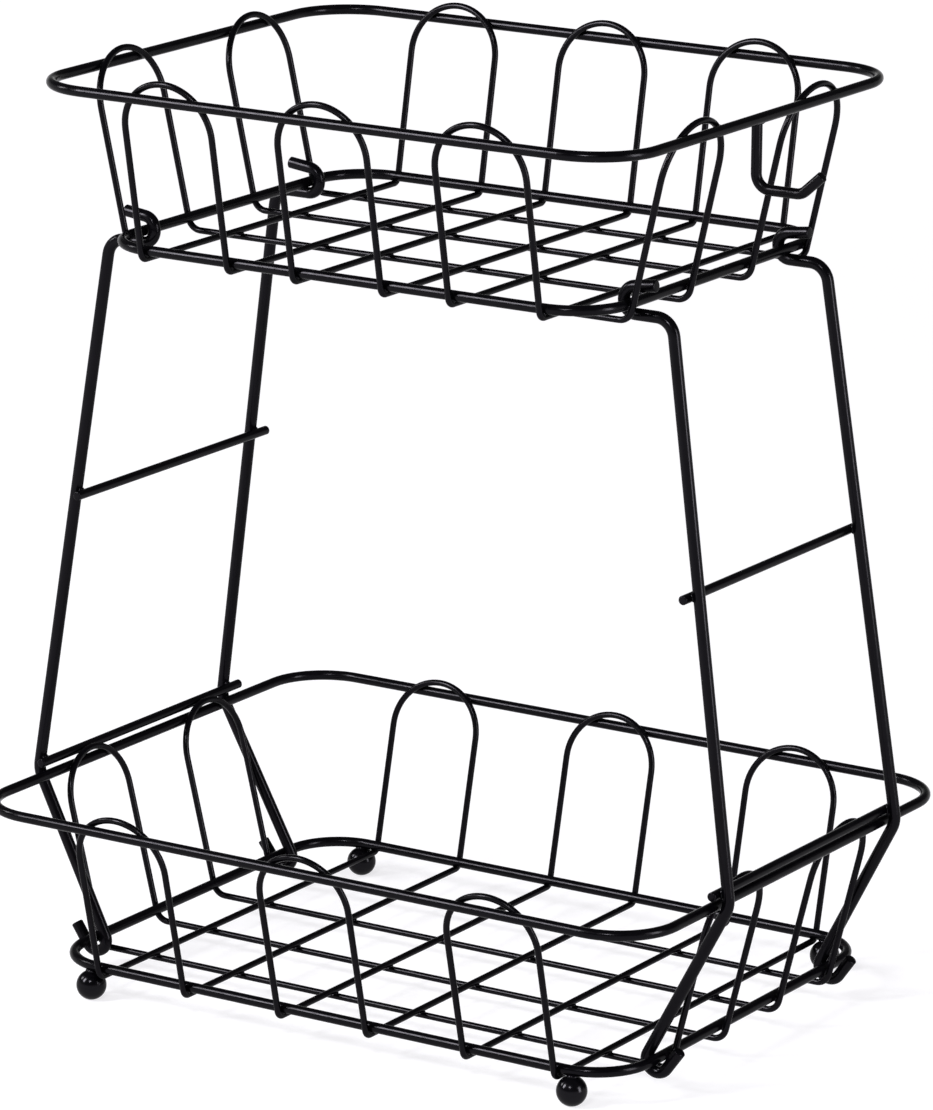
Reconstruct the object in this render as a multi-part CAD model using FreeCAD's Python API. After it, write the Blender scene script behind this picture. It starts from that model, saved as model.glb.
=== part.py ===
import FreeCAD, Part
import math
import os

# Two-tier countertop wire basket. Two baskets of welded wire, the larger one below on four ball feet,
# the smaller one hung above it in the hooks of two side frames.
# Millimetres, +Z up, +X to the right along the long side, front at -Y, origin on the floor under the middle.
# Ring, hoop, leg and bar sizes are taken to the centre line of the wire.

# Wire diameters
ring_wire = 4.8
hoop_wire = 3.0
leg_wire = 5.5
bar_wire = 4.3
banana_wire = 4.9

# Fits between wires
weld_sink = 0.1
hook_clearance = 0.3
arch_clearance = 0.4

# Lower basket
lower_rim_length = 359.0
lower_rim_width = 276.0
lower_rim_corner = 29.0
lower_base_length = 306.0
lower_base_width = 225.0
lower_base_corner = 27.0
lower_depth = 74.7
lower_cross_pitch = 99.5
lower_cross_width = 47.5
lower_cross_arch_rise = 6.1
lower_long_pitch = 93.6
lower_long_width = 46.0
lower_long_arch_rise = 6.1

# Upper basket
upper_rim_length = 310.0
upper_rim_width = 245.0
upper_rim_corner = 30.0
upper_base_length = 260.5
upper_base_width = 201.5
upper_base_corner = 26.0
upper_depth = 73.3
upper_cross_pitch = 81.6
upper_cross_width = 46.5
upper_cross_arch_rise = 7.3
upper_long_pitch = 102.0
upper_long_width = 49.0
upper_long_arch_rise = 6.0

# Rim of the upper basket above the rim of the lower one
tier_height = 336.3

# Ball feet
foot_ball = 14.0
foot_flat_depth = 0.3
foot_from_hoop = 7.0

# Side frames
frame_top_spread = 133.2
frame_bottom_spread = 154.2
hook_flat = 0.3
top_bend = 6.0
top_stub = 10.7
top_stub_tilt_deg = 7.0
hook_reach = 18.6
bottom_bend = 5.5
bottom_depth = 6.5
bottom_stub = 11.2
bottom_stub_tilt_deg = 8.0
bearing_gap = 0.1
shoulder_bend = 9.0
knee_bend = 12.0
knee_rise = 1.0
rim_bar_rise = 5.9
middle_bar_rise = 136.3
bar_overhang = 6.0

# Banana hook
banana_drop = 32.5
banana_run = 23.0
banana_tip = 13.5
banana_tip_tilt_deg = 42.0
banana_bend = 7.0
banana_end_drop = 1.2

# Heights of the four rings
foot_centre_z = foot_ball / 2 - foot_flat_depth
lower_base_z = foot_centre_z + foot_ball / 2 + ring_wire / 2 - weld_sink
lower_rim_z = lower_base_z + lower_depth
upper_rim_z = lower_rim_z + tier_height
upper_base_z = upper_rim_z - upper_depth

# Distances between the centre lines of wires that are welded to each other
ring_to_hoop = ring_wire / 2 + hoop_wire / 2 - weld_sink
hoop_to_hoop = hoop_wire - weld_sink
leg_to_bar = leg_wire / 2 + bar_wire / 2 - weld_sink
rim_to_banana = banana_wire / 2 + math.sqrt((ring_wire / 2 - weld_sink) ** 2 - banana_end_drop ** 2)

os.makedirs("parts", exist_ok=True)


def vec(x, y, z):
    return FreeCAD.Vector(x, y, z)


def unit(v):
    return vec(v.x, v.y, v.z).normalize()


# A straight wire bent at given corners: each corner is rounded by an arc of its own radius.
def bent_runs(points, radii):
    runs = []
    here = points[0]
    for i in range(1, len(points) - 1):
        corner = points[i]
        heading = unit(corner - points[i - 1])
        leaving = unit(points[i + 1] - corner)
        turn = heading.getAngle(leaving)
        setback = radii[i - 1] * math.tan(turn / 2)
        start = corner - heading * setback
        end = corner + leaving * setback
        axis = unit(heading.cross(leaving))
        centre = start + axis.cross(heading) * radii[i - 1]
        runs.append(("straight", start - here))
        runs.append(("bend", centre, axis, math.degrees(turn)))
        here = end
    runs.append(("straight", points[-1] - here))
    return runs


# A round wire along its bent runs: one tube face per run, closed by the start or by two flat ends.
def wire_solid(points, radii, diameter, closed):
    first = Part.Circle(points[0], points[1] - points[0], diameter / 2).toShape()
    section = first
    faces = []
    for run in bent_runs(points, radii):
        if run[0] == "bend":
            faces.append(section.revolve(run[1], run[2], run[3]))
            section = section.copy()
            section.rotate(run[1], run[2], run[3])
        elif run[1].Length > Part.Precision.confusion():
            faces.append(section.extrude(run[1]))
            section = section.copy()
            section.translate(run[1])
    if not closed:
        faces.append(Part.Face(Part.Wire(first)))
        faces.append(Part.Face(Part.Wire(section)))
    shell = Part.Shell(faces)
    shell.sewShape()
    solid = Part.Solid(shell)
    if solid.Volume < 0:
        solid.reverse()
    return solid


# A closed ring of wire with four rounded corners, started in the middle of its front side.
def ring(length, width, corner, z):
    x, y = length / 2, width / 2
    points = [vec(0, -y, z), vec(x, -y, z), vec(x, y, z), vec(-x, y, z), vec(-x, -y, z), vec(0, -y, z)]
    return wire_solid(points, [corner] * 4, ring_wire, True)


# The slanted line of a hoop's leg: inside the rim, outside the base ring, touching both.
class Wall:
    def __init__(self, rim_half, base_half, rim_z, base_z):
        out = rim_half - base_half
        up = rim_z - base_z
        self.lean = math.atan2(out, up) - math.asin(2 * ring_to_hoop / math.hypot(out, up))
        self.half = (rim_half + base_half) / 2
        self.z = (rim_z + base_z) / 2

    def at(self, z):
        return self.half + (z - self.z) * math.tan(self.lean)


# One closed hoop: two floor wires and an arch at each end. place() turns (along, across, z) into a point.
def hoop(wall, floor_z, top_z, curl, middle, width, place):
    low, high = wall.at(floor_z), wall.at(top_z)
    a, b = middle - width / 2, middle + width / 2
    start = place(0, a, floor_z)
    points = [
        start,
        place(low, a, floor_z),
        place(high, a, top_z),
        place(high, b, top_z),
        place(low, b, floor_z),
        place(-low, b, floor_z),
        place(-high, b, top_z),
        place(-high, a, top_z),
        place(-low, a, floor_z),
        start,
    ]
    arch = width / 2
    return wire_solid(points, [curl, arch, arch, curl] * 2, hoop_wire, True)


def along_y(along, across, z):
    return vec(across, along, z)


def along_x(along, across, z):
    return vec(along, across, z)


# The rings and hoops of one basket, by name.
def basket(tier, rim, base, rim_z, base_z, cross, long):
    pieces = {
        tier + "_rim": ring(*rim, rim_z),
        tier + "_base_ring": ring(*base, base_z),
    }
    cross_floor_z = base_z - ring_to_hoop
    long_floor_z = cross_floor_z - hoop_to_hoop
    cross_wall = Wall(rim[1] / 2, base[1] / 2, rim_z, base_z)
    long_wall = Wall(rim[0] / 2, base[0] / 2, rim_z, base_z)
    for name, x in (("left", -cross[0]), ("middle", 0), ("right", cross[0])):
        piece = hoop(cross_wall, cross_floor_z, rim_z + cross[2], ring_to_hoop, x, cross[1], along_y)
        pieces[tier + "_cross_hoop_" + name] = piece
    long_curl = ring_to_hoop + hoop_to_hoop
    for name, y in (("front", -long[0] / 2), ("back", long[0] / 2)):
        piece = hoop(long_wall, long_floor_z, rim_z + long[2], long_curl, y, long[1], along_x)
        pieces[tier + "_long_hoop_" + name] = piece
    return pieces


# A ball under the base ring, flat where it stands and hollowed where the ring sits in it.
def ball_foot(x, y, base_ring):
    ball = Part.makeSphere(foot_ball / 2, vec(x, y, foot_centre_z))
    below = Part.makeBox(foot_ball, foot_ball, foot_ball, vec(x - foot_ball / 2, y - foot_ball / 2, -foot_ball))
    return ball.cut(below).cut(base_ring)


# Direction from a point to a circle's tangent, passing the circle on its +X side (side 1) or -X side (side -1).
def tangent_heading(x, z, circle_x, circle_z, radius, side):
    dx, dz = circle_x - x, circle_z - z
    swing = side * math.asin(radius / math.hypot(dx, dz))
    return (
        dx * math.cos(swing) - dz * math.sin(swing),
        dx * math.sin(swing) + dz * math.cos(swing),
    )


# Corners of the right-hand legs, in X and Z, from the tip of the top hook to the tip of the bottom hook.
lower_wall = Wall(lower_rim_length / 2, lower_base_length / 2, lower_rim_z, lower_base_z)
rim_bar_x = lower_wall.at(lower_rim_z + lower_long_arch_rise) + hoop_wire / 2 + arch_clearance + bar_wire / 2
rim_bar_z = lower_rim_z + rim_bar_rise

tilt = math.radians(top_stub_tilt_deg)
seat_drop = ring_wire / 2 + hook_clearance + leg_wire / 2
top_setback = top_bend * math.tan((math.pi / 2 - tilt) / 2)
hook_back_x = upper_base_length / 2 - top_bend
hook_run_z = upper_base_z - seat_drop
hook_top_z = hook_run_z + top_bend + hook_flat + top_setback
stub_span = top_setback + top_stub
shoulder_x = upper_base_length / 2 + hook_reach

leg_dx, leg_dz = tangent_heading(shoulder_x, hook_run_z, rim_bar_x, rim_bar_z, leg_to_bar, 1)
leg_slope = leg_dx / leg_dz
knee_z = lower_rim_z + knee_rise
knee_x = shoulder_x + (knee_z - hook_run_z) * leg_slope

# The leg goes on down past the inner side of the lower base ring, turns under it and comes up outside.
bearing = ring_wire / 2 + bearing_gap + leg_wire / 2
j_dx, j_dz = tangent_heading(knee_x, knee_z, lower_base_length / 2, lower_base_z, bearing, -1)
down = math.atan2(-j_dx, -j_dz)
j_tilt = math.radians(bottom_stub_tilt_deg)
j_setback = bottom_bend * math.tan((math.pi / 2 - j_tilt) / 2)
j_span = bottom_bend + hook_flat + j_setback
j_in_x = lower_base_length / 2 - bearing * math.cos(down) - bottom_depth * math.sin(down)
j_in_z = lower_base_z + bearing * math.sin(down) - bottom_depth * math.cos(down)
j_out_x = j_in_x + j_span * math.cos(down)
j_out_z = j_in_z - j_span * math.sin(down)
j_stub = j_setback + bottom_stub

leg_corners = [
    (hook_back_x + stub_span * math.cos(tilt), hook_top_z + stub_span * math.sin(tilt)),
    (hook_back_x, hook_top_z),
    (hook_back_x, hook_run_z),
    (shoulder_x, hook_run_z),
    (knee_x, knee_z),
    (j_in_x, j_in_z),
    (j_out_x, j_out_z),
    (j_out_x + j_stub * math.sin(down + j_tilt), j_out_z + j_stub * math.cos(down + j_tilt)),
]
leg_bends = [top_bend, top_bend, shoulder_bend, knee_bend, bottom_bend, bottom_bend]


# Half the distance between the two legs of a frame at a height: the frame is wider at the bottom.
def leg_y(z):
    share = (z - lower_base_z) / (upper_base_z - lower_base_z)
    return (frame_bottom_spread + (frame_top_spread - frame_bottom_spread) * share) / 2


def leg(side_x, side_y):
    points = [vec(side_x * x, side_y * leg_y(z), z) for x, z in leg_corners]
    return wire_solid(points, leg_bends, leg_wire, False)


# A straight bar across the inner side of both legs.
def bar(side_x, x, z):
    half = leg_y(z) + bar_overhang
    points = [vec(side_x * x, -half, z), vec(side_x * x, half, z)]
    return wire_solid(points, [], bar_wire, False)


# The hook for bananas: its end is welded to the inner side of the rim, a little below the middle of the wire.
# From there it goes down, outward, and up at the tip.
def banana_hook():
    x = upper_rim_length / 2 - rim_to_banana
    low_z = upper_rim_z - banana_drop
    tip_tilt = math.radians(banana_tip_tilt_deg)
    points = [
        vec(x, 0, upper_rim_z - banana_end_drop),
        vec(x, 0, low_z),
        vec(x + banana_run, 0, low_z),
        vec(x + banana_run + banana_tip * math.cos(tip_tilt), 0, low_z + banana_tip * math.sin(tip_tilt)),
    ]
    return wire_solid(points, [banana_bend, banana_bend], banana_wire, False)


lower_rim = (lower_rim_length, lower_rim_width, lower_rim_corner)
lower_base = (lower_base_length, lower_base_width, lower_base_corner)
upper_rim = (upper_rim_length, upper_rim_width, upper_rim_corner)
upper_base = (upper_base_length, upper_base_width, upper_base_corner)

lower_cross = (lower_cross_pitch, lower_cross_width, lower_cross_arch_rise)
lower_long = (lower_long_pitch, lower_long_width, lower_long_arch_rise)
upper_cross = (upper_cross_pitch, upper_cross_width, upper_cross_arch_rise)
upper_long = (upper_long_pitch, upper_long_width, upper_long_arch_rise)

nodes = {}
nodes.update(basket("lower", lower_rim, lower_base, lower_rim_z, lower_base_z, lower_cross, lower_long))
nodes.update(basket("upper", upper_rim, upper_base, upper_rim_z, upper_base_z, upper_cross, upper_long))
nodes["banana_hook"] = banana_hook()

foot_x = lower_cross_pitch + lower_cross_width / 2 + foot_from_hoop
foot_y = lower_base_width / 2
for name_y, side_y in (("front", -1), ("back", 1)):
    for name_x, side_x in (("left", -1), ("right", 1)):
        foot = ball_foot(side_x * foot_x, side_y * foot_y, nodes["lower_base_ring"])
        nodes["ball_foot_" + name_y + "_" + name_x] = foot

middle_bar_z = lower_rim_z + middle_bar_rise
middle_bar_x = shoulder_x + (middle_bar_z - hook_run_z) * leg_slope - leg_to_bar * math.hypot(leg_slope, 1)
for name_x, side_x in (("left", -1), ("right", 1)):
    for name_y, side_y in (("front", -1), ("back", 1)):
        nodes[name_x + "_" + name_y + "_leg"] = leg(side_x, side_y)
    nodes[name_x + "_middle_bar"] = bar(side_x, middle_bar_x, middle_bar_z)
    nodes[name_x + "_rim_bar"] = bar(side_x, rim_bar_x, rim_bar_z)

for name, solid in nodes.items():
    solid.exportStep(os.path.join("parts", name + ".step"))
    print(name, "valid", solid.isValid(), "volume", round(solid.Volume, 1))
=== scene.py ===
import math

import bpy
import bmesh
from mathutils import Matrix, Vector


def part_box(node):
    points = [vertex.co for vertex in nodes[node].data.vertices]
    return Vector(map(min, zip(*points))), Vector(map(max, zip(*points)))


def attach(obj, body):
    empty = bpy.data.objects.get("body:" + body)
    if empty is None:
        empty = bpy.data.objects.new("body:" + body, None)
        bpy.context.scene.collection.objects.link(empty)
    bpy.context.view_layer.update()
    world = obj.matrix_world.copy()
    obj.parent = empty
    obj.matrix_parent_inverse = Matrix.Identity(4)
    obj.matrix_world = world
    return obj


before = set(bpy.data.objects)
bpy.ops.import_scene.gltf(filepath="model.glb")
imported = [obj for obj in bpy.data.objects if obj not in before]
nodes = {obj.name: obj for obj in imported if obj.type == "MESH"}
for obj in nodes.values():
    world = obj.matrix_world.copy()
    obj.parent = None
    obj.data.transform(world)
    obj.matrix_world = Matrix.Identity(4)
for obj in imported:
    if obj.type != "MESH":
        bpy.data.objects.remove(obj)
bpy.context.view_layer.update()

# Rims and base rings: four closed rings of thick round steel wire, bent to rounded corners and
# butt-welded. Like every wire of the basket they are dipped in black and stoved, which leaves a satin
# skin with a fine orange peel and a weak sheen that fades where the wire turns away.
coat_black = (0.0009, 0.0008, 0.0013)
coat_black_thin = (0.0021, 0.0019, 0.0027)
thin_spots_scale = 60
thin_spots_detail = 3
thin_spots_span = (0.35, 0.75)
gloss_patch_scale = 260
gloss_patch_detail = 4
gloss_patch_span = (0.3, 0.7)
peel_detail = 2
peel_strength = 0.25
sheen_full = 0.5
sheen_left_at_edge = 0.30
sheen_slant = (0.17, 0.60)
sheen_tint = (0.92, 0.88, 1.0)
wire_index = 1.19646
ring_gloss = (0.15, 0.27)
ring_peel_size = 0.0009
ring_peel_depth = 0.00003


# Grades a value that runs over one span into another, between the two ends given.
def graded(tree, value, span, ends):
    grade = tree.nodes.new("ShaderNodeMapRange")
    grade.inputs["From Min"].default_value, grade.inputs["From Max"].default_value = span
    grade.inputs["To Min"].default_value, grade.inputs["To Max"].default_value = ends
    tree.links.new(value, grade.inputs["Value"])
    return grade


# Uneven spots that lie still on the piece.
def spots(tree, scale, detail):
    place = tree.nodes.new("ShaderNodeTexCoord")
    noise = tree.nodes.new("ShaderNodeTexNoise")
    noise.inputs["Scale"].default_value = scale
    noise.inputs["Detail"].default_value = detail
    tree.links.new(place.outputs["Object"], noise.inputs["Vector"])
    return noise.outputs["Fac"]


def satin_coat(name, gloss, index, peel_size, peel_depth):
    coat = bpy.data.materials.new(name)
    coat.use_nodes = True
    tree = coat.node_tree
    link = tree.links.new
    shader = tree.nodes["Principled BSDF"]
    shader.inputs["IOR"].default_value = index
    shader.inputs["Specular Tint"].default_value = (*sheen_tint, 1)

    slant = tree.nodes.new("ShaderNodeLayerWeight").outputs["Facing"]
    sheen = graded(tree, slant, sheen_slant, (sheen_full, sheen_full * sheen_left_at_edge))
    link(sheen.outputs["Result"], shader.inputs["Specular IOR Level"])

    tone = tree.nodes.new("ShaderNodeValToRGB")
    shades = (coat_black, coat_black_thin)
    for stop, position, shade in zip(tone.color_ramp.elements, thin_spots_span, shades):
        stop.position = position
        stop.color = (*shade, 1)
    link(spots(tree, thin_spots_scale, thin_spots_detail), tone.inputs["Fac"])
    link(tone.outputs["Color"], shader.inputs["Base Color"])

    patches = spots(tree, gloss_patch_scale, gloss_patch_detail)
    shine = graded(tree, patches, gloss_patch_span, gloss)
    link(shine.outputs["Result"], shader.inputs["Roughness"])

    relief = tree.nodes.new("ShaderNodeBump")
    relief.inputs["Strength"].default_value = peel_strength
    relief.inputs["Distance"].default_value = peel_depth
    link(spots(tree, 1 / peel_size, peel_detail), relief.inputs["Height"])
    link(relief.outputs["Normal"], shader.inputs["Normal"])
    return coat


def dip(piece, coat):
    piece.data.materials.clear()
    piece.data.materials.append(coat)
    piece.data.shade_smooth()


ring_coat = satin_coat("ring_coat", ring_gloss, wire_index, ring_peel_size, ring_peel_depth)
for tier in ("lower", "upper"):
    dip(nodes[tier + "_rim"], ring_coat)
    dip(nodes[tier + "_base_ring"], ring_coat)

# Hoops: five closed hoops of thin steel wire in each basket, three across and two along.
# Each runs under the floor, up outside the base ring, and arches over inside the rim.
# On the thin wire the same black skin has a finer and shallower orange peel.
hoop_wire = 0.0030
hoop_gloss = (0.15, 0.27)
hoop_peel_size = 0.0007
hoop_peel_depth = 0.00002
hoop_coat = satin_coat("hoop_coat", hoop_gloss, wire_index, hoop_peel_size, hoop_peel_depth)
cross_hoops = ("cross_hoop_left", "cross_hoop_middle", "cross_hoop_right")
long_hoops = ("long_hoop_front", "long_hoop_back")
for tier in ("lower", "upper"):
    for hoop in cross_hoops + long_hoops:
        dip(nodes[tier + "_" + hoop], hoop_coat)

# Welds of the hoops: each hoop is spot-welded to the rim where its arch crosses it, to the base ring
# where it turns under, and to every floor wire it lies on. The squeezed-out steel stands in the
# crevice between the wires as a low uneven bead, and the dip rounds it off.
rim_weld = (0.0026, 0.0013, 0.0010)
wrap_weld = (0.0020, 0.0019, 0.0010)
ring_weld = (0.0017, 0.0019, 0.0010)
floor_weld = (0.0016, 0.0016, 0.0008)
bead_around = 14
bead_across = 8
bead_oval = 0.09
bead_ripple = 0.05
bead_change = (40, 70, 90)
oval_change = 50
ripple_change = 80


# Adds one bead: half sizes along its length, its width and the line from wire to wire.
# Its outline is a little oval and rippled, and no two places give the same.
def add_bead(beads, place, length_line, wire_to_wire, halves):
    depth = wire_to_wire.normalized()
    long = (length_line - depth * length_line.dot(depth)).normalized()
    wide = depth.cross(long)
    lump = sum(change * way for change, way in zip(bead_change, place))
    rows = []
    for i in range(1, bead_across):
        tilt = math.pi * i / bead_across
        row = []
        for j in range(bead_around):
            turn = 2 * math.pi * j / bead_around
            swell = 1 + bead_oval * math.sin(2 * turn + oval_change * lump)
            swell += bead_ripple * math.sin(3 * turn + 2 * tilt + ripple_change * lump)
            x = halves[0] * swell * math.sin(tilt) * math.cos(turn)
            y = halves[1] * swell * math.sin(tilt) * math.sin(turn)
            z = halves[2] * math.cos(tilt)
            row.append(beads.verts.new(place + x * long + y * wide + z * depth))
        rows.append(row)
    near = beads.verts.new(place + halves[2] * depth)
    far = beads.verts.new(place - halves[2] * depth)
    for j in range(bead_around):
        k = (j + 1) % bead_around
        beads.faces.new((near, rows[0][j], rows[0][k]))
        beads.faces.new((far, rows[-1][k], rows[-1][j]))
        for upper_row, lower_row in zip(rows, rows[1:]):
            beads.faces.new((upper_row[j], lower_row[j], lower_row[k], upper_row[k]))


def hang_piece(name, shape, body, coat):
    mesh = bpy.data.meshes.new(name)
    bmesh.ops.recalc_face_normals(shape, faces=shape.faces)
    shape.to_mesh(mesh)
    shape.free()
    piece = bpy.data.objects.new(name, mesh)
    bpy.context.scene.collection.objects.link(piece)
    dip(piece, coat)
    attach(piece, body)


# Middle line of a ring: half length, half width, height and wire radius.
def ring_line(node):
    low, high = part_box(node)
    radius = (high.z - low.z) / 2
    return high.x - radius, high.y - radius, (low.z + high.z) / 2, radius


def across_the_front(across, outward, z):
    return Vector((across, outward, z))


def along_the_side(across, outward, z):
    return Vector((outward, across, z))


tiers = {"lower": "stand", "upper": "upper_basket"}
for tier, body in tiers.items():
    rim_beads, base_beads, floor_beads = bmesh.new(), bmesh.new(), bmesh.new()
    rim_x, rim_y, rim_z, ring_radius = ring_line(tier + "_rim")
    base_x, base_y, base_z, ring_radius = ring_line(tier + "_base_ring")
    apart = ring_radius + hoop_wire / 2
    floor_lines = {}
    for hoop in cross_hoops + long_hoops:
        low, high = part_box(tier + "_" + hoop)
        crosswise = hoop in cross_hoops
        turned = across_the_front if crosswise else along_the_side
        rim_half, base_half = (rim_y, base_y) if crosswise else (rim_x, base_x)
        left, right = (low.x, high.x) if crosswise else (low.y, high.y)
        left, right = left + hoop_wire / 2, right - hoop_wire / 2
        floor_lines[hoop] = (left, right, low.z + hoop_wire / 2)
        middle, arch = (left + right) / 2, (right - left) / 2
        out, up = rim_half - base_half, rim_z - base_z
        lean = math.atan2(out, up) - math.asin(2 * apart / math.hypot(out, up))
        top = (high.z - hoop_wire / 2 - rim_z - apart * math.sin(lean)) / math.cos(lean)
        spread = math.sqrt(arch ** 2 - (arch - top) ** 2)
        for end in (-1, 1):
            inward = turned(0, -end * math.cos(lean), math.sin(lean))
            upward = turned(0, end * math.sin(lean), math.cos(lean))
            sideways = turned(1, 0, 0)
            for side in (-1, 1):
                slant = sideways * (arch - top) / arch - upward * side * spread / arch
                on_rim = turned(middle + side * spread, end * rim_half, rim_z) + ring_radius * inward
                add_bead(rim_beads, on_rim, sideways + slant, inward, rim_weld)
                on_base = turned(middle + side * arch, end * base_half, base_z)
                if crosswise:
                    down_and_out = (upward + inward) / -math.sqrt(2)
                    under_ring = on_base + ring_radius * down_and_out
                    add_bead(base_beads, under_ring, upward - inward, down_and_out, wrap_weld)
                else:
                    beside_ring = on_base - ring_radius * inward
                    add_bead(base_beads, beside_ring, upward, inward, ring_weld)
    for cross in cross_hoops:
        for long in long_hoops:
            for x in floor_lines[cross][:2]:
                for y in floor_lines[long][:2]:
                    z = (floor_lines[cross][2] + floor_lines[long][2]) / 2
                    crossing = Vector((x, y, z))
                    add_bead(floor_beads, crossing, Vector((1, 1, 0)), Vector((0, 0, 1)), floor_weld)
    hang_piece(tier + "_rim_welds", rim_beads, body, hoop_coat)
    hang_piece(tier + "_base_welds", base_beads, body, hoop_coat)
    hang_piece(tier + "_floor_welds", floor_beads, body, hoop_coat)

# Ball feet: four solid steel balls welded under the lower base ring, ground flat where they stand.
# They are dipped with the rest, and on the round form the skin flows out smoother and glossier.
# The weld is a low collar between ball and ring.
ball_gloss = (0.15, 0.22)
ball_index = 1.23671
ball_peel_size = 0.0016
ball_peel_depth = 0.000004
ball_weld = (0.0030, 0.0026, 0.0013)
ball_coat = satin_coat("ball_coat", ball_gloss, ball_index, ball_peel_size, ball_peel_depth)
ball_beads = bmesh.new()
base_x, base_y, base_z, ring_radius = ring_line("lower_base_ring")
for corner in ("front_left", "front_right", "back_left", "back_right"):
    foot = "ball_foot_" + corner
    dip(nodes[foot], ball_coat)
    low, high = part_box(foot)
    under_ring = Vector(((low.x + high.x) / 2, (low.y + high.y) / 2, base_z - ring_radius))
    add_bead(ball_beads, under_ring, Vector((1, 0, 0)), Vector((0, 0, 1)), ball_weld)
hang_piece("ball_welds", ball_beads, "stand", ball_coat)

# Side frames: each is two legs of heavy wire, bent into an open hook at the top for the upper basket
# and a small hook at the bottom that grips the lower base ring. The wire is sheared to length,
# and the dip rounds the cut ends.
leg_wire = 0.0055
leg_gloss = (0.16, 0.28)
leg_peel_size = 0.0010
leg_peel_depth = 0.00004
leg_coat = satin_coat("frame_coat", leg_gloss, wire_index, leg_peel_size, leg_peel_depth)
top_hook_way = (0.99, 0.12)
foot_hook_way = (0.2, 0.98)
foot_hook_height = 0.03
end_round = 0.0007
end_sunk = 0.4
end_around = 24
end_steps = 5
flat_cut = 0.9999


# Adds the rounded skin over a cut wire end: a shallow cap with a small edge radius.
def add_cut_end(ends, place, heading, wire):
    axis = heading.normalized()
    side = axis.orthogonal().normalized()
    other = axis.cross(side)
    rows = []
    profile = [(wire / 2 - end_round, -end_round)]
    for i in range(end_steps + 1):
        bend = math.pi / 2 * i / end_steps
        radius = wire / 2 - end_round * (1 - math.cos(bend))
        profile.append((radius, end_round * (math.sin(bend) - end_sunk)))
    for radius, rise in profile:
        row = []
        for j in range(end_around):
            turn = 2 * math.pi * j / end_around
            around = math.cos(turn) * side + math.sin(turn) * other
            row.append(ends.verts.new(place + rise * axis + radius * around))
        rows.append(row)
    ends.faces.new(rows[0][::-1])
    ends.faces.new(rows[-1])
    for lower_row, upper_row in zip(rows, rows[1:]):
        for j in range(end_around):
            k = (j + 1) % end_around
            ends.faces.new((lower_row[j], lower_row[k], upper_row[k], upper_row[j]))


# Middle and heading of the flat cut that a bent wire ends in, found from about where it points.
def cut_end(node, about, above, below):
    shape = nodes[node].data
    at_height = (corner.co for corner in shape.vertices if above < corner.co.z < below)
    tip = max(at_height, key=lambda point: point.dot(about))
    near_tip = [face for face in shape.polygons if (face.center - tip).length < leg_wire]
    heading = max(near_tip, key=lambda face: face.normal.dot(about)).normal.copy()
    cut = [face for face in near_tip if face.normal.dot(heading) > flat_cut]
    cut_area = sum(face.area for face in cut)
    middle = sum((face.center * face.area for face in cut), Vector()) / cut_area
    return middle, heading


leg_ends = bmesh.new()
sides = {"left": -1, "right": 1}
for side, sign in sides.items():
    top_way = Vector((sign * top_hook_way[0], 0, top_hook_way[1]))
    foot_way = Vector((sign * foot_hook_way[0], 0, foot_hook_way[1]))
    for leg in (side + "_front_leg", side + "_back_leg"):
        dip(nodes[leg], leg_coat)
        low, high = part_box(leg)
        top_end = cut_end(leg, top_way, high.z - leg_wire, high.z + leg_wire)
        foot_end = cut_end(leg, foot_way, low.z - leg_wire, low.z + foot_hook_height)
        add_cut_end(leg_ends, *top_end, leg_wire)
        add_cut_end(leg_ends, *foot_end, leg_wire)
hang_piece("leg_ends", leg_ends, "stand", leg_coat)

# Bars of the side frames: a straight bar at rim height and one half way up, across the inner side of
# both legs. They are lighter wire, sheared to length and spot-welded to the legs, and their ends
# stand out a little.
bar_weld = (0.0025, 0.0022, 0.0012)
slope_from = 0.004
slope_to = 0.024
bar_ends, bar_beads = bmesh.new(), bmesh.new()


# Inner face of a leg at a height, found by looking outward from the middle of the basket.
def leg_face(leg, sign, z):
    low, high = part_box(leg)
    share = (z - low.z) / (high.z - low.z)
    bottom, top = (low.y, high.y) if low.y + high.y < 0 else (high.y, low.y)
    inset = math.copysign(leg_wire / 2, bottom)
    y = bottom - inset + share * (top - bottom + 2 * inset)
    return nodes[leg].ray_cast(Vector((0, y, z)), Vector((sign, 0, 0)))[1]


for side, sign in sides.items():
    for bar in (side + "_rim_bar", side + "_middle_bar"):
        dip(nodes[bar], leg_coat)
        low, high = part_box(bar)
        middle = (low + high) / 2
        bar_wire = high.z - low.z
        for end in (-1, 1):
            tip = Vector((middle.x, end * high.y, middle.z))
            add_cut_end(bar_ends, tip, Vector((0, end, 0)), bar_wire)
        for leg in (side + "_front_leg", side + "_back_leg"):
            here = leg_face(leg, sign, middle.z + slope_from)
            along_leg = (leg_face(leg, sign, middle.z + slope_to) - here).normalized()
            outward = along_leg.cross(Vector((0, 1, 0))) * sign
            outward = outward if outward.x * sign > 0 else -outward
            on_leg = Vector((middle.x, here.y, middle.z)) + outward * bar_wire / 2
            add_bead(bar_beads, on_leg, along_leg, outward, bar_weld)
hang_piece("bar_ends", bar_ends, "stand", leg_coat)
hang_piece("bar_welds", bar_beads, "stand", leg_coat)

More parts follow.
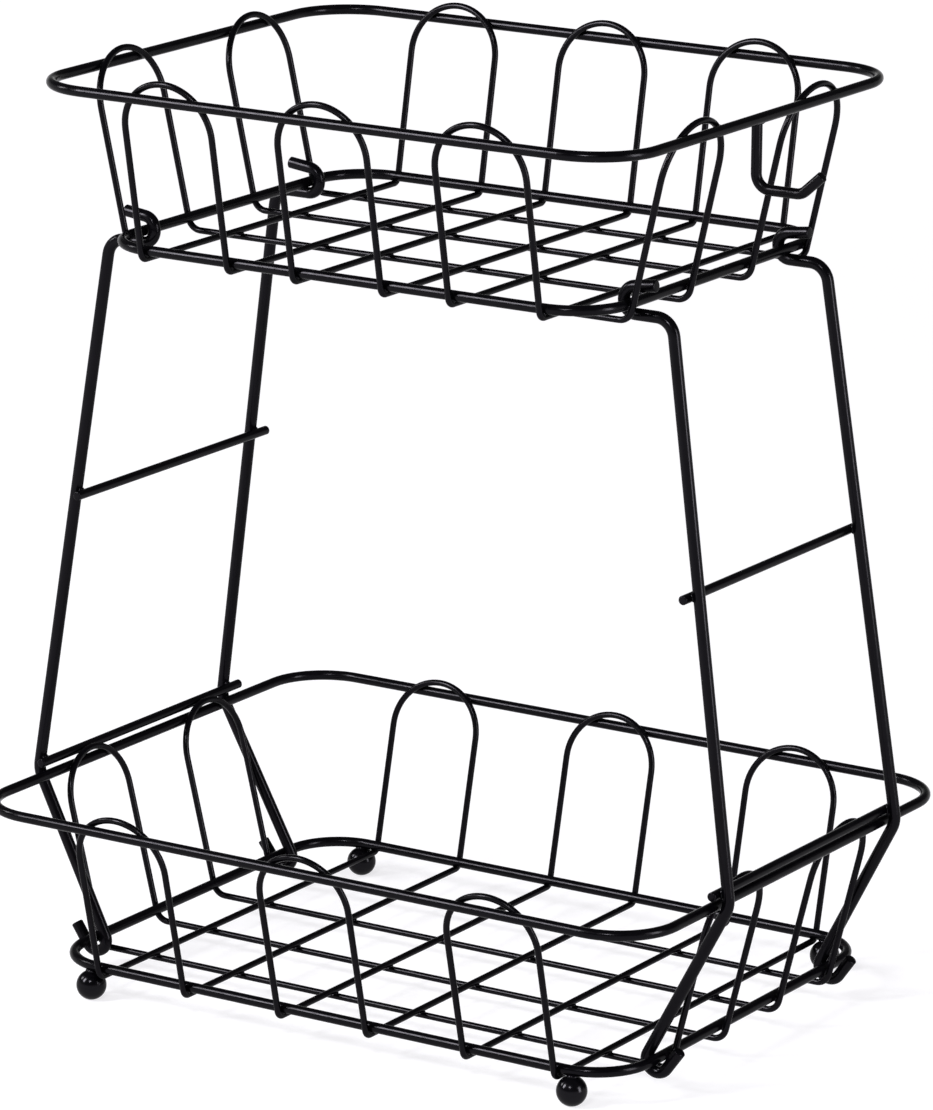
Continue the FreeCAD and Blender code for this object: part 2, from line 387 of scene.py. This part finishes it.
# Banana hook: a bent stub of heavy wire, welded by its upper end to the inner side of the upper rim,
# that comes out under the rim and turns up at the tip. Both ends are sheared and rounded by the dip.
banana_weld = (0.0016, 0.0026, 0.0012)
banana_weld_drop = 0.0018
banana_tip_way = Vector((0.75, 0, 0.66))
banana_ends, banana_bead = bmesh.new(), bmesh.new()
dip(nodes["banana_hook"], leg_coat)
low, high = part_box("banana_hook")
banana_wire = high.y - low.y
rim_x, rim_y, rim_z, ring_radius = ring_line("upper_rim")
upper_end = Vector((low.x + banana_wire / 2, 0, high.z))
add_cut_end(banana_ends, upper_end, Vector((0, 0, 1)), banana_wire)
tip, heading = cut_end("banana_hook", banana_tip_way, low.z, (low.z + high.z) / 2)
add_cut_end(banana_ends, tip, heading, banana_wire)
weld_in = math.sqrt(ring_radius ** 2 - banana_weld_drop ** 2)
under_rim = Vector((rim_x - weld_in, 0, rim_z - banana_weld_drop))
add_bead(banana_bead, under_rim, Vector((0, 0, 1)), Vector((1, 0, 0)), banana_weld)
hang_piece("banana_hook_ends", banana_ends, "upper_basket", leg_coat)
hang_piece("banana_hook_weld", banana_bead, "upper_basket", leg_coat)

# Table: a wide matt top that the basket stands on, the white ground of the picture.
# It takes the soft shadow of the wires. A glow, which only shows and lights nothing, brings it up to
# white, and grows outward, where the lamps no longer reach.
table_size = 14
table_white = (0.32, 0.32, 0.33)
table_roughness = 0.9
table_glow_tint = (0.985, 0.975, 1.0)
table_glow = (0.75, 1.0)
table_glow_reach = (0.3, 3.0)
bpy.ops.mesh.primitive_plane_add(size=table_size)
table = bpy.context.object
table.name = "table_top"
table_paint = bpy.data.materials.new("table_white")
table_paint.use_nodes = True
table_tree = table_paint.node_tree
shader = table_tree.nodes["Principled BSDF"]
shader.inputs["Base Color"].default_value = (*table_white, 1)
shader.inputs["Roughness"].default_value = table_roughness
shader.inputs["Specular IOR Level"].default_value = 0
shader.inputs["Emission Color"].default_value = (*table_glow_tint, 1)


# 1 for rays from the camera, from a mirror-like surface or through glass, else 0.
def seen_directly(tree):
    ray = tree.nodes.new("ShaderNodeLightPath")
    seen = ray.outputs["Is Camera Ray"]
    for way in ("Is Glossy Ray", "Is Transmission Ray"):
        either = tree.nodes.new("ShaderNodeMath")
        either.operation = "MAXIMUM"
        tree.links.new(seen, either.inputs[0])
        tree.links.new(ray.outputs[way], either.inputs[1])
        seen = either.outputs[0]
    return seen


reach = table_tree.nodes.new("ShaderNodeVectorMath")
reach.operation = "LENGTH"
table_place = table_tree.nodes.new("ShaderNodeTexCoord").outputs["Object"]
table_tree.links.new(table_place, reach.inputs[0])
outward_glow = graded(table_tree, reach.outputs["Value"], table_glow_reach, table_glow)
glow = table_tree.nodes.new("ShaderNodeMath")
glow.operation = "MULTIPLY"
table_tree.links.new(seen_directly(table_tree), glow.inputs[0])
table_tree.links.new(outward_glow.outputs["Result"], glow.inputs[1])
table_tree.links.new(glow.outputs[0], shader.inputs["Emission Strength"])
table.data.materials.append(table_paint)

# Studio: a white sweep round the table that fades to a dim ceiling, a small lamp by the camera,
# a soft box and a panel to the left, and a broad soft box to the right. The lamps draw the light lines
# along the wires. The sweep shows as full white and gives off a little less light than that.
sweep_light = 0.80
sweep_white = 1.0
sweep_ceiling = 0.12
sweep_rise = (0.08, 0.25)
world = bpy.data.worlds.new("studio")
bpy.context.scene.world = world
world.use_nodes = True
room_tree = world.node_tree
room = room_tree.nodes["Background"]
room.inputs["Color"].default_value = (1, 1, 1, 1)
direction = room_tree.nodes.new("ShaderNodeSeparateXYZ")
room_place = room_tree.nodes.new("ShaderNodeTexCoord").outputs["Generated"]
room_tree.links.new(room_place, direction.inputs["Vector"])
sweep = graded(room_tree, direction.outputs["Z"], sweep_rise, (sweep_light, sweep_ceiling))
sweep.interpolation_type = "SMOOTHSTEP"
seen_sweep = graded(room_tree, seen_directly(room_tree), (0, 1), (sweep_light, sweep_white))
room_tree.links.new(seen_sweep.outputs["Result"], sweep.inputs["To Min"])
room_tree.links.new(sweep.outputs["Result"], room.inputs["Strength"])
basket_middle = Vector((0, 0, 0.2060))


def softbox(name, direction, distance, size, power):
    light = bpy.data.lights.new(name, "AREA")
    light.shape = "RECTANGLE"
    light.size, light.size_y = size
    light.energy = power
    lamp = bpy.data.objects.new(name, light)
    bpy.context.scene.collection.objects.link(lamp)
    lamp.location = basket_middle + distance * Vector(direction).normalized()
    lamp.rotation_euler = (basket_middle - lamp.location).to_track_quat("-Z", "Y").to_euler()


softbox("camera_lamp", direction=(0.22, -0.77, 0.60), distance=2.2, size=(0.26, 0.26), power=17)
softbox("left_box", direction=(-0.84, -0.30, 0.43), distance=2.0, size=(0.32, 0.45), power=12)
softbox("left_panel", direction=(-0.52, -0.67, 0.53), distance=2.2, size=(0.45, 0.90), power=50)
softbox("right_box", direction=(0.97, 0.03, 0.20), distance=2.0, size=(0.5, 1.1), power=28)

# Camera: a long lens on a tripod in front of the basket, to its right and a little above the table.
# It aims near the middle of the basket, and it is turned a hair about its own line of sight,
# as in the photograph.
eye_aim = Vector((0.00115, 0.00074, 0.20624))
eye_turn = 0.569
eye_rise = 0.2612
eye_roll = 0.0062
eye_distance = 2.917
eye_reach = 50
film_height = 24
picture_height = 1110
focal_pixels = 6385.6
lens = bpy.data.cameras.new("camera")
lens.sensor_fit = "VERTICAL"
lens.sensor_height = film_height
lens.lens = focal_pixels * film_height / picture_height
lens.clip_end = eye_reach
camera = bpy.data.objects.new("camera", lens)
bpy.context.scene.collection.objects.link(camera)
level_out = Vector((math.sin(eye_turn), -math.cos(eye_turn), 0))
outward = math.cos(eye_rise) * level_out + math.sin(eye_rise) * Vector((0, 0, 1))
level_right = (-outward).cross(Vector((0, 0, 1))).normalized()
level_up = level_right.cross(-outward)
right = math.cos(eye_roll) * level_right + math.sin(eye_roll) * level_up
up = math.cos(eye_roll) * level_up - math.sin(eye_roll) * level_right
turn = Matrix((right, up, outward)).transposed().to_4x4()
camera.matrix_world = Matrix.Translation(eye_aim + eye_distance * outward) @ turn
bpy.context.scene.camera = camera
bpy.context.scene.view_settings.view_transform = "Standard"
